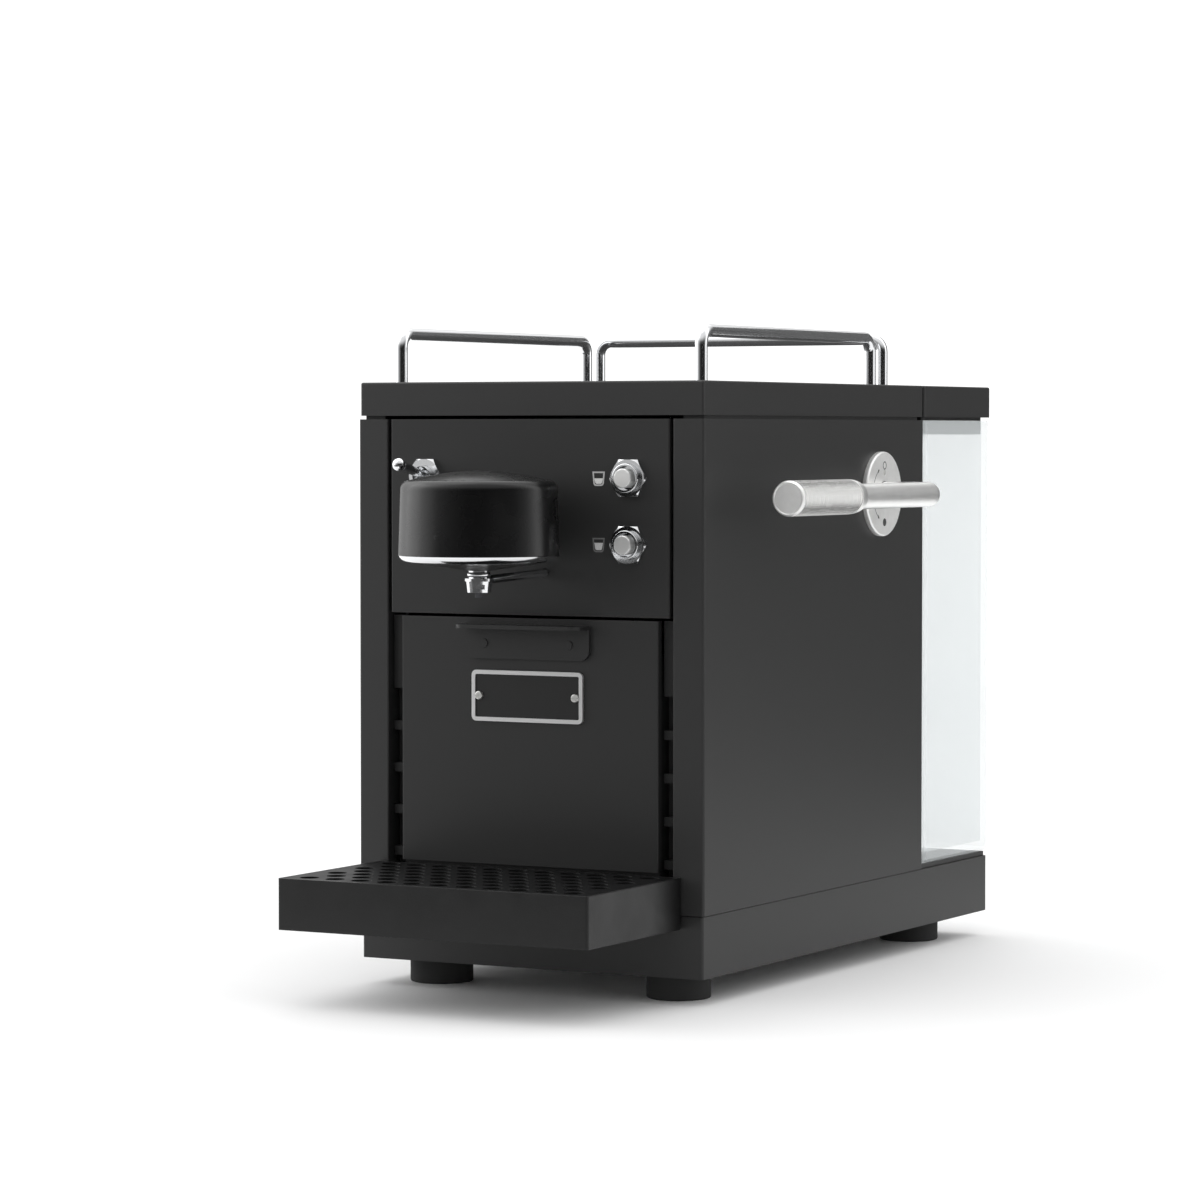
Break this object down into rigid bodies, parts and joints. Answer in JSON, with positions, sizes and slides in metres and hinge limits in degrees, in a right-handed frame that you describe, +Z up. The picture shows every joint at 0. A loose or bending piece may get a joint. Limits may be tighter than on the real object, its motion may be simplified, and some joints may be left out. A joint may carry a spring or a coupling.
{
  "type": "pod coffee machine",
  "caption": "Slim black pod coffee machine with a can-shaped brew head, side lever, used-capsule drawer, drip tray, cup rails and a clear rear water tank.",
  "frame": {"origin": "centre of the body's footprint, casing and tank, on the surface it stands on", "axes": "+Z up, -Y the front with the outlet, +X the side with the lever"},
  "size_m": [0.1865, 0.3525, 0.2632],
  "materials": {
    "case_paint": "satin black powder coat with a fine texture",
    "panel_paint": "satin black powder coat",
    "black_steel": "matt black coated steel",
    "chrome": "polished chrome plate",
    "satin_aluminium": "satin turned aluminium",
    "brushed_cap": "brushed face",
    "steel": "plain sheet steel",
    "zinc": "zinc plated",
    "rubber": "matt black rubber",
    "seal_rubber": "silicone",
    "black_plastic": "moulded, fine grain",
    "grey_plastic": "moulded",
    "clear_plastic": "clear moulded plastic",
    "plate_black": "flat black enamel",
    "plate_silver": "bright edge",
    "cast_aluminium": "sand-cast, dull",
    "board": "green circuit board",
    "hose": "milky silicone"
  },
  "bodies": {
    "root": {"base_pan": "case_paint", "feet": "rubber", "feet_screws": "zinc", "chassis_deck": "black_steel", "side_panel_left": "case_paint", "side_panel_right": "case_paint", "rear_wall": "black_steel", "front_panel": "panel_paint", "chassis_walls": "steel", "brew_shelf": "steel", "top_cover": "case_paint", "capsule_chute": "black_plastic", "rail_left": "chrome", "rail_right": "chrome", "rail_rear": "chrome", "rail_nuts": "zinc", "rack_strips": "black_steel", "drawer_shelf": "black_steel", "head_can": "panel_paint", "head_ring": "chrome", "head_cone": "black_steel", "head_neck": "chrome", "outlet_tube": "chrome", "spout_nozzle": "chrome", "spout_tip": "seal_rubber", "control_bushings": "chrome", "panel_nuts": "chrome", "switch_bodies": "black_plastic", "lever_disc": "satin_aluminium", "shaft_bushes": "grey_plastic", "capsule_holder": "cast_aluminium", "brew_cage": "steel", "pump": "black_plastic", "pump_mounts": "rubber", "heater_block": "cast_aluminium", "hoses": "hose", "control_board": "board", "power_inlet": "black_plastic", "tank_seat": "seal_rubber"},
    "tank": {"water_tank": "clear_plastic", "tank_valve": "grey_plastic"},
    "tank_cover": {"tank_lid": "case_paint"},
    "tray": {"tray_pan": "case_paint"},
    "grid": {"tray_grid": "black_steel"},
    "drawer": {"drawer_front": "panel_paint", "capsule_bin": "black_plastic", "drawer_pull": "panel_paint", "nameplate_frame": "plate_silver", "nameplate_face": "plate_black", "nameplate_screws": "zinc"},
    "button_upper": {"button_cap_upper": "brushed_cap"},
    "button_lower": {"button_cap_lower": "brushed_cap"},
    "toggle": {"toggle_bat": "chrome"},
    "lever": {"lever_arm": "satin_aluminium", "lever_grip": "satin_aluminium", "cross_shaft": "steel", "cranks": "zinc"},
    "toggle_links": {"links": "zinc"},
    "injector": {"carriage": "grey_plastic", "slot_shutter": "black_plastic"}
  },
  "joints": [
    {"name": "tank_lift", "type": "slide", "parent": "root", "child": "tank", "axis": [0, 0, 1], "range_m": [0, 0.206]},
    {"name": "tank_cover_lift", "type": "slide", "parent": "tank", "child": "tank_cover", "axis": [0, 0, 1], "range_m": [0, 0.03]},
    {"name": "tray_pull", "type": "slide", "parent": "root", "child": "tray", "axis": [0, -1, 0], "range_m": [0, 0.112]},
    {"name": "grid_lift", "type": "slide", "parent": "tray", "child": "grid", "axis": [0, 0, 1], "range_m": [0, 0.025]},
    {"name": "drawer_slide", "type": "slide", "parent": "root", "child": "drawer", "axis": [0, -1, 0], "range_m": [0, 0.1]},
    {"name": "button_upper_press", "type": "slide", "parent": "root", "child": "button_upper", "axis": [0, 1, 0], "range_m": [0, 0.0015], "stiffness_N_per_m": 500, "springref_m": -0.0015},
    {"name": "button_lower_press", "type": "slide", "parent": "root", "child": "button_lower", "axis": [0, 1, 0], "range_m": [0, 0.0015], "stiffness_N_per_m": 500, "springref_m": -0.0015},
    {"name": "toggle_flip", "type": "hinge", "parent": "root", "child": "toggle", "pos_m": [-0.046, -0.1395, 0.204], "axis": [1, 0, 0], "range_deg": [0, 30]},
    {"name": "lever_swing", "type": "hinge", "parent": "root", "child": "lever", "pos_m": [0, 0.022, 0.1958], "axis": [-1, 0, 0], "range_deg": [0, 90]},
    {"name": "link_turn", "type": "hinge", "parent": "lever", "child": "toggle_links", "pos_m": [0, -0.002, 0.1958], "axis": [-1, 0, 0], "range_deg": [-120.5, 0]},
    {"name": "injector_slide", "type": "slide", "parent": "root", "child": "injector", "axis": [0, 1, 0], "range_m": [0, 0.0306]}
  ],
  "couplings": [
    {"joint": "link_turn", "follows": "lever_swing", "ratio": -1.3333},
    {"joint": "injector_slide", "follows": "lever_swing", "m_per_rad": 0.019373}
  ]
}
